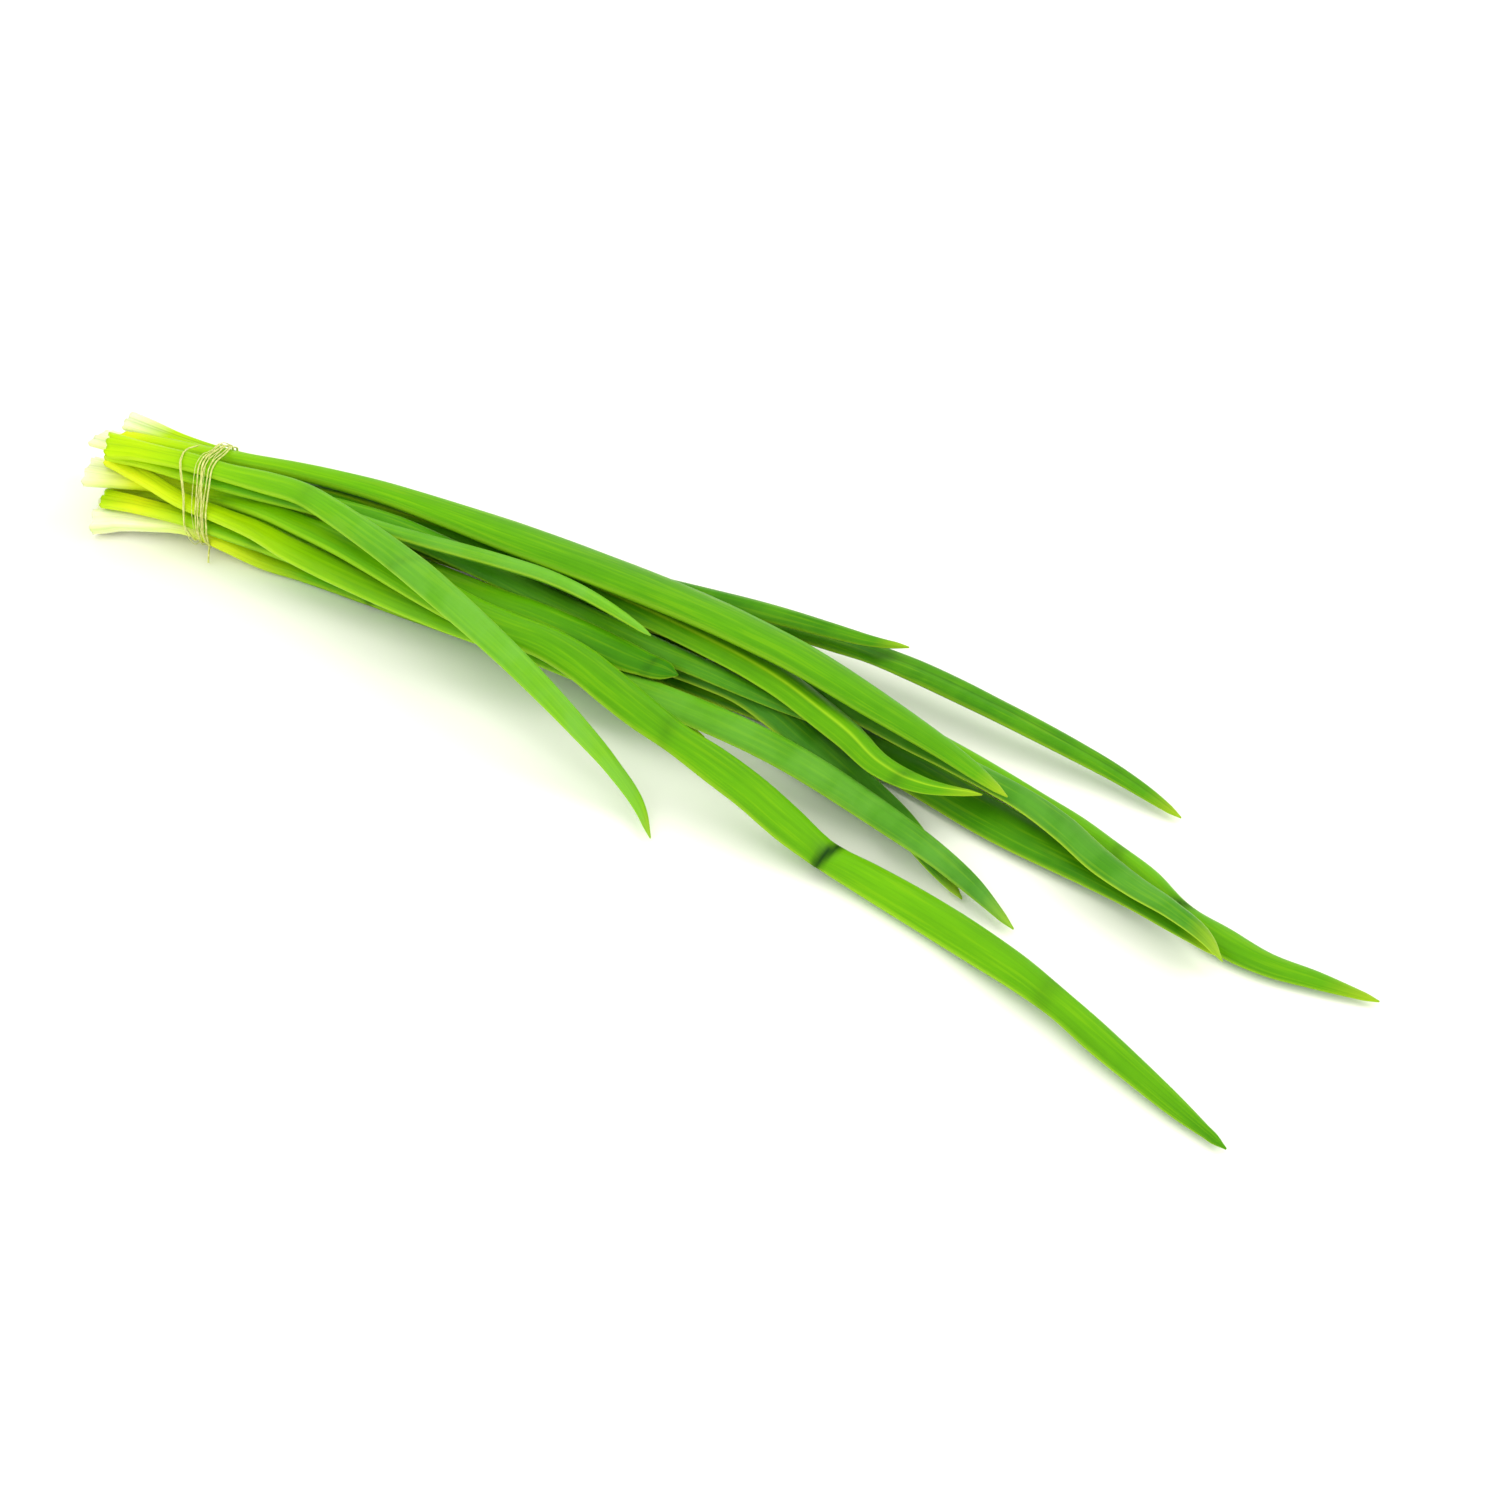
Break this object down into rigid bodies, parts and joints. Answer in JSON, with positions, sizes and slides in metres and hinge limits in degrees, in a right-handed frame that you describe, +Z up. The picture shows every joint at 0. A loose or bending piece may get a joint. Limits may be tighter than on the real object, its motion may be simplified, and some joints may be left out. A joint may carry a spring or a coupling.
{
  "type": "chive bunch",
  "caption": "Tied bunch of long hollow green leaves with pale cut ends, lying fanned out on a flat surface.",
  "frame": {"origin": "on the table, under the middle of the bunch's outline", "axes": "+X from the cut ends to the tips, +Z up from the table"},
  "size_m": [0.329, 0.0954, 0.0259],
  "materials": {
    "leaf_green": "fresh smooth leaf, satin, fine lengthwise veins",
    "leaf_bright": "fresh yellow-green leaf, satin, fine lengthwise veins",
    "leaf_bluish": "leaf with a thin waxy bluish bloom, satin",
    "thread": "dry straw-coloured plant fibre, matt"
  },
  "bodies": {
    "root": {"leaf_back_long": "leaf_green", "leaf_far_short": "leaf_green", "leaf_far_long": "leaf_green", "leaf_right_kinked": "leaf_green", "leaf_right_upper": "leaf_bluish", "leaf_right_broad": "leaf_green", "leaf_hooked": "leaf_bright", "leaf_under_dark": "leaf_bluish", "leaf_front_mid": "leaf_bluish", "leaf_front_long": "leaf_bright", "leaf_top_forked": "leaf_bluish", "leaf_blunt": "leaf_green", "leaf_mid_bluish": "leaf_bluish", "leaf_near_low": "leaf_bright", "leaf_near_sheath": "leaf_bright", "tie_thread": "thread"}
  },
  "joints": []
}
